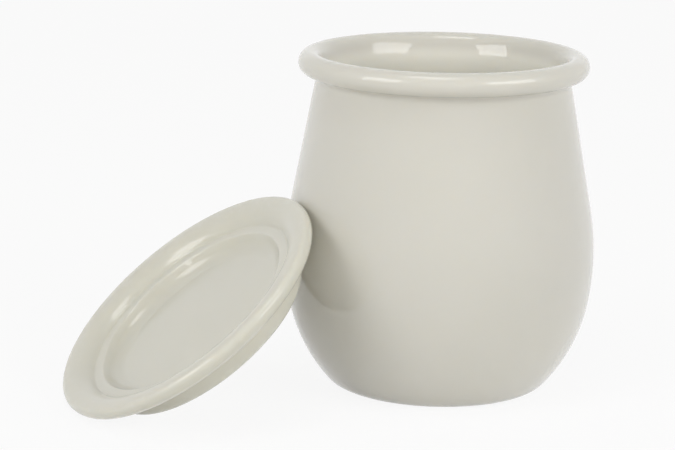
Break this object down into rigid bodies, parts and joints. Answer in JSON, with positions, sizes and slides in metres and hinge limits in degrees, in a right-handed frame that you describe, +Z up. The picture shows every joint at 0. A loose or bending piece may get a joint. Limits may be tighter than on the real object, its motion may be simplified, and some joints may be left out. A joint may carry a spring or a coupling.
{
  "type": "lidded yogurt pot",
  "caption": "Round glazed yogurt pot with a full belly and a rolled rim, and a loose plug lid with a stepped dish that leans against its side.",
  "frame": {"origin": "centre of the pot's flat foot, on the table", "axes": "+Z up along the pot's axis; -Y towards the picture's viewer; the lid leans on the -X side"},
  "size_m": [0.1302, 0.1021, 0.0839],
  "materials": {
    "glaze": "glossy off-white glaze",
    "lid_plastic": "glossy off-white moulding"
  },
  "bodies": {
    "pot": {"pot": "glaze"},
    "lid": {"lid": "lid_plastic"}
  },
  "joints": [
    {"name": "lid_lift", "type": "slide", "parent": "pot", "child": "lid", "axis": [-0.5756, -0.2611, 0.7749], "range_m": [0, 0.1]}
  ]
}
